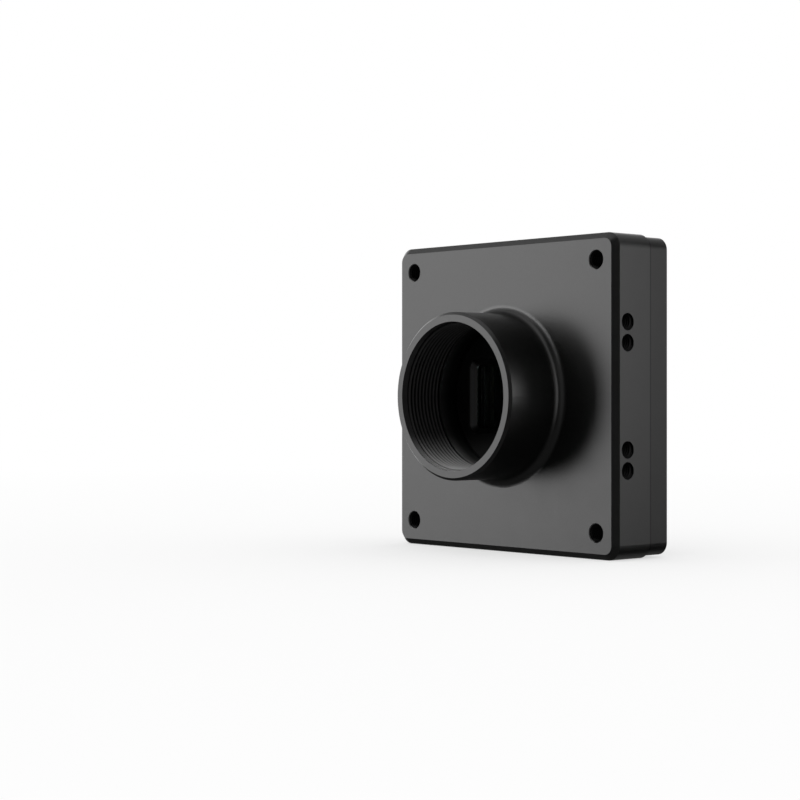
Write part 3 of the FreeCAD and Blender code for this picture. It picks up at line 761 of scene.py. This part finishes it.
jackBody = {
    "low": (-0.975, 21.4, -20.3), "high": (14.275, 35.7, -7.8), "middle": 6.65,
    # the mouth runs from its floor to past the face, and is made of bays: width, lower and upper edge
    "mouth": (24.2, 36.7),
    "bays": ((11.8, -18.2, -11.1), (6.2, -18.2, -9.65), (4.45, -18.2, -8.5), (8.16, -19.6, -11.1),
             (12.7, -16.0, -13.3)),
    # lowest and highest corner of the notch in one side
    "notch": ((6.65, 34.7, -16.0), (15.275, 36.7, -13.3)),
    # low ribs stand between the contacts, and two pegs sit in the board
    "ribs": 7, "ribPitch": 1.02, "ribWidth": 0.3, "ribSpan": (31.0, 35.1), "ribHeights": (-19.8, -18.25),
    "pegX": 5.7, "pegZ": -10.9, "pegRadius": 0.8, "pegSpan": (20.2, 21.7), "pegSides": 32,
    "soft": 0.12,
}


def makeJack(values):
    body = addBlock("jackBody", values["low"], values["high"])
    middle = values["middle"]
    start, end = values["mouth"]
    for width, low, high in values["bays"]:
        combine(body, addBlock("bay", (middle - width / 2, start, low), (middle + width / 2, end, high)))
    combine(body, addBlock("notch", *values["notch"]))
    half = values["ribWidth"] / 2
    (start, end), (low, high) = values["ribSpan"], values["ribHeights"]
    for i in range(values["ribs"]):
        x = middle + (i - (values["ribs"] - 1) / 2) * values["ribPitch"]
        combine(body, addBlock("rib", (x - half, start, low), (x + half, end, high)), "UNION")
    for side in (-1, 1):
        peg = addRod("peg", values["pegRadius"], *values["pegSpan"], middle + side * values["pegX"],
                     values["pegZ"], values["pegSides"])
        combine(body, peg, "UNION")
    tidyMesh(body)
    softenEdges(body, values["soft"])
    return body


jack = makeJack(jackBody)
flatFaces(jack)
register(jack, "jack_plastic", "jack_housing")
print("jack: body made")

# stub is the bit that the strip is drawn out from, turn is the bend's angle, and the free end reaches to tip
contactSpring = {
    "tail": 20.0, "stub": 0.1, "floor": -19.45, "bend": 34.05, "bendRadius": 0.42, "bendSteps": 10,
    "turn": 160.9, "tip": 27.25, "width": 0.45, "thickness": 0.28, "soft": 0.05,
    "pitch": 1.02, "count": 8, "middle": 6.65,
}


def makeSpring(values):
    # a flat strip: tail and floor run, bend at the mouth, then the free end leaning inwards
    stubMiddle = values["tail"] + values["stub"] / 2
    spring = addStrip("contactSpring", 0, stubMiddle, values["floor"], values["width"], values["stub"])
    enterEdit(spring, "EDGE")
    pickEdges(spring, lambda centre, way: centre.y > stubMiddle and abs(way.x) > making["along"])
    run = values["bend"] - values["tail"] - values["stub"]
    bpy.ops.mesh.extrude_region_move(TRANSFORM_OT_translate={"value": (0, run * mm, 0)})
    turn = math.radians(values["turn"])
    centre = (0, values["bend"] * mm, (values["floor"] + values["bendRadius"]) * mm)
    bpy.ops.mesh.spin(steps=values["bendSteps"], angle=turn, center=centre, axis=(1, 0, 0))
    length = (values["bend"] + values["bendRadius"] * math.sin(turn) - values["tip"]) / -math.cos(turn)
    bpy.ops.mesh.extrude_region_move(TRANSFORM_OT_translate={
        "value": (0, length * math.cos(turn) * mm, length * math.sin(turn) * mm)})
    mergeDoubles(making["merge"])
    faceOutwards()
    leaveEdit()
    applyModifier(spring, "SOLIDIFY", thickness=values["thickness"] * mm, offset=0)
    softenEdges(spring, values["soft"])
    return spring


spring = makeSpring(contactSpring)
for i in range(contactSpring["count"]):
    x = contactSpring["middle"] + (i - (contactSpring["count"] - 1) / 2) * contactSpring["pitch"]
    twin = copyTo(spring, "contactSpring" + str(i + 1), Matrix.Translation((x * mm, 0, 0)))
    flatFaces(twin)
    register(twin, "gold_contact", "jack_contact_" + str(i + 1))
bpy.data.objects.remove(spring)
print("springs:", contactSpring["count"])


# Signal header

headerBody = {
    "low": (-15.1, 21.4, -20.4), "high": (-3.3, 24.5, -16.1),
    # the upper well, the lower well, and the step that sets the tongue between them back
    "wells": (((-14.4, 22.2, -18.0), (-4.0, 25.5, -16.8)), ((-12.2, 22.2, -19.7), (-6.2, 25.5, -18.5)),
              ((-12.2, 24.1, -18.6), (-6.2, 25.5, -17.9))),
    "keyHoles": ((-13.3, -18.95), (-5.1, -18.95)), "keyRadius": 0.42, "keySpan": (23.7, 25.5),
    "keySides": 24, "soft": 0.1,
}


def makeHeader(values):
    body = addBlock("headerBody", values["low"], values["high"])
    for low, high in values["wells"]:
        combine(body, addBlock("well", low, high))
    for x, z in values["keyHoles"]:
        hole = addRod("keyHole", values["keyRadius"], *values["keySpan"], x, z, values["keySides"])
        combine(body, hole)
    tidyMesh(body)
    softenEdges(body, values["soft"])
    return body


header = makeHeader(headerBody)
flatFaces(header)
register(header, "header_plastic", "signal_header")
print("header made")


# Studio: pale floor, even white surroundings, and light cards in a dark tent. Only reflections and glass
# see the cards and the tent, and they see them instead of the white surroundings.

studio = {
    "floor": -27.05, "floorSize": 8.0, "floorTone": 0.96, "floorFleck": 0.99, "fleckScale": 3.0,
    "floorRoughness": 0.9, "floorGlow": 0.6, "fadeStart": 0.05, "fadeEnd": 0.4,
    "skyLow": -0.3, "skyHigh": 0.4, "groundLevel": 0.15,
    "tentRadius": 1.6, "tentLevel": 0.04, "tentSegments": 48, "tentRings": 24,
    "cardRadius": 1.2, "cardStep": 0.015, "cardColumns": 24, "cardRows": 8,
    # azimuth and elevation that each card spans in degrees, and its brightness; the first lies nearest.
    # The brightnesses come from a least squares fit to the photograph's tones, made outside this script,
    # and some were then changed by hand.
    "cards": {
        "keyCard": (-155, -125, -11, 15, 1.26), "keyTopCard": (-165, -115, 15, 30, 1.75),
        "keyLowCard": (-165, -115, -30, -11, 0.03), "leftCard": (-180, -155, -15, 15, 0.4),
        "leftWingCard": (-125, -90, -15, 15, 0.06), "leftWingTopCard": (-120, -90, 15, 30, 0.38),
        "frontHighCard": (-105, -30, 30, 60, 0.02), "frontCard": (-90, -45, -15, 30, 0.1),
        "rightGapCard": (-45, -20, -30, 30, 0.0), "rightEdgeCard": (-20, -5, -15, 30, 0.5),
        "rightCard": (-5, 30, -15, 30, 0.3), "rightLowCard": (-15, 40, -30, -15, 0.21),
        "backCard": (30, 45, -5, 15, 1.39), "backTopCard": (30, 45, 15, 30, 0.65),
        "backGapCard": (45, 75, -5, 30, 0.0), "backLowCard": (30, 80, -60, -5, 0.01),
        "rearCard": (75, 180, -15, 30, 0.95), "rearLowCard": (75, 160, -60, -15, 0.11),
        "topCard": (-180, 180, 60, 90, 0.32), "highRightCard": (-30, 15, 30, 60, 0.26),
        "highBackCard": (15, 80, 30, 60, 0.15), "highLeftCard": (80, 255, 30, 60, 0.29),
    },
}


def floorFinish(values):
    # near the object it is a pale matt table; farther out it turns into the white backdrop
    material, tree, shader = newFinish("floor")
    point = objectPoint(tree)
    tone = (values["floorTone"],) * 3
    fleck = (values["floorFleck"] * values["floorTone"],) * 3
    cloud = noise(tree, point, values["fleckScale"])
    plug(tree, blendColour(tree, cloud, tone, fleck), shader.inputs["Base Color"])
    shader.inputs["Roughness"].default_value = values["floorRoughness"]
    shader.inputs["Specular IOR Level"].default_value = 0.0
    distance = addNode(tree, "ShaderNodeVectorMath", operation="LENGTH")
    plug(tree, point, distance.inputs[0])
    fade = addNode(tree, "ShaderNodeMixShader")
    plug(tree, ramp(tree, distance.outputs["Value"], values["fadeStart"], values["fadeEnd"],
                    values["floorGlow"], 1), fade.inputs[0])
    plug(tree, shader.outputs[0], fade.inputs[1])
    plug(tree, addNode(tree, "ShaderNodeEmission").outputs[0], fade.inputs[2])
    plug(tree, fade.outputs[0], tree.nodes["Material Output"].inputs["Surface"])
    return material


def emissionFinish(name, level):
    material = bpy.data.materials.new(name)
    material.use_nodes = True
    tree = material.node_tree
    tree.nodes.clear()
    glow = addNode(tree, "ShaderNodeEmission")
    glow.inputs["Strength"].default_value = level
    plug(tree, glow.outputs[0], addNode(tree, "ShaderNodeOutputMaterial").inputs["Surface"])
    material.cycles.emission_sampling = "NONE"      # or the floor would block the cards below it
    return material


def onlyReflections(piece):
    # seen in reflections and through glass, and by nothing else
    piece.visible_camera = False
    piece.visible_diffuse = False
    piece.visible_shadow = False
    piece.visible_volume_scatter = False


def addCard(name, values, turnFrom, turnTo, liftFrom, liftTo, level, radius):
    # a part of a sphere round the object, bent from a flat grid that is 1 wide and high
    clearSelection()
    bpy.ops.mesh.primitive_grid_add(x_subdivisions=values["cardColumns"],
                                    y_subdivisions=values["cardRows"], size=1)
    card = bpy.context.object
    card.name = name
    for vertex in card.data.vertices:
        turn = math.radians(turnFrom + (vertex.co.x + 0.5) * (turnTo - turnFrom))
        lift = math.radians(liftFrom + (vertex.co.y + 0.5) * (liftTo - liftFrom))
        vertex.co = Vector((math.cos(lift) * math.cos(turn), math.cos(lift) * math.sin(turn),
                            math.sin(lift))) * radius
    card.data.materials.append(emissionFinish(name, level))
    onlyReflections(card)


clearSelection()
bpy.ops.mesh.primitive_plane_add(size=studio["floorSize"], location=(0, 0, studio["floor"] * mm))
floor = bpy.context.object
floor.name = "floor"
floor.data.materials.append(floorFinish(studio))
# the object doesn't mirror the floor and gets no light back from it
floor.visible_glossy = False
floor.visible_diffuse = False

clearSelection()
bpy.ops.mesh.primitive_uv_sphere_add(segments=studio["tentSegments"], ring_count=studio["tentRings"],
                                     radius=studio["tentRadius"])
tent = bpy.context.object
tent.name = "darkTent"
tent.data.materials.append(emissionFinish("darkTent", studio["tentLevel"]))
onlyReflections(tent)
for index, (name, card) in enumerate(studio["cards"].items()):
    addCard(name, studio, *card, studio["cardRadius"] + index * studio["cardStep"])


def makeWorld(name, values):
    # an even white sky that dims towards the ground, and plain white for the camera's rays. Mirror and
    # glass rays would get plain white too, but the dark tent stops them first.
    world = bpy.data.worlds.new(name)
    world.use_nodes = True
    tree = world.node_tree
    height = addNode(tree, "ShaderNodeSeparateXYZ")
    plug(tree, addNode(tree, "ShaderNodeTexCoord").outputs["Generated"], height.inputs[0])
    sky = ramp(tree, height.outputs["Z"], values["skyLow"], values["skyHigh"], values["groundLevel"], 1)
    rays = addNode(tree, "ShaderNodeLightPath").outputs
    shiny = mathNode(tree, "MAXIMUM", rays["Is Glossy Ray"], rays["Is Transmission Ray"])
    strength = addNode(tree, "ShaderNodeMix", data_type="FLOAT")
    plug(tree, mathNode(tree, "MAXIMUM", rays["Is Camera Ray"], shiny), strength.inputs[0])
    plug(tree, sky, strength.inputs[2])
    strength.inputs[3].default_value = 1.0
    background = tree.nodes["Background"].inputs
    background["Color"].default_value = (1, 1, 1, 1)
    plug(tree, strength.outputs[0], background["Strength"])
    world.cycles.sampling_method = "NONE"      # it is even, so it needs no sampling of its own
    return world


bpy.context.scene.world = makeWorld("studioWorld", studio)
print("studio:", len(studio["cards"]), "cards")

# the photograph's front view: lengths in millimetres for the lens, place in metres, turn in degrees
view = {"lens": 86.1, "sensor": 36.0, "shiftY": -0.0046, "clipStart": 0.01,
        "place": (0.2392, -0.2198, 0.0), "turn": 48.955}
cameraData = bpy.data.cameras.new("photoView")
photoView = bpy.data.objects.new("photoView", cameraData)
bpy.context.scene.collection.objects.link(photoView)
cameraData.lens = view["lens"]
cameraData.sensor_width = view["sensor"]
cameraData.shift_y = view["shiftY"]
cameraData.clip_start = view["clipStart"]
photoView.location = view["place"]
photoView.rotation_euler = (math.pi / 2, 0, math.radians(view["turn"]))
bpy.context.scene.camera = photoView
bpy.context.scene.view_settings.view_transform = "Standard"
